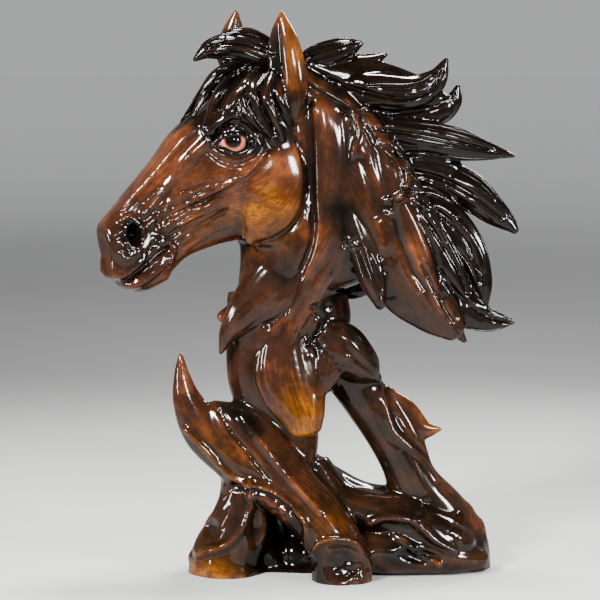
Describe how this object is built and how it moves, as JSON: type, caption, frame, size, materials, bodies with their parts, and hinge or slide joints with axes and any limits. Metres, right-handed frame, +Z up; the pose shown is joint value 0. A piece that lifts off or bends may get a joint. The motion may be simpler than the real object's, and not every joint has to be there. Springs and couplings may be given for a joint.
{
  "type": "horse head sculpture",
  "caption": "Table-top horse head sculpture: head turned aside, mane blown back in pointed locks, rising from a stem of gnarled roots cut flat below, cast in one piece and lacquered",
  "frame": {"origin": "on the surface that the sculpture stands on, under the middle of the work, on the flat underside of the roots", "axes": "+Z up, the nose points to -X, the mane blows to +X, the horse's left cheek faces -Y; -Z is the outward direction of the underside"},
  "size_m": [0.2665, 0.1057, 0.3602],
  "materials": {
    "stained_resin": "dark wood stain with rubbed amber parts under gloss lacquer"
  },
  "bodies": {
    "root": {"horse_head_sculpture": "stained_resin"}
  },
  "joints": []
}
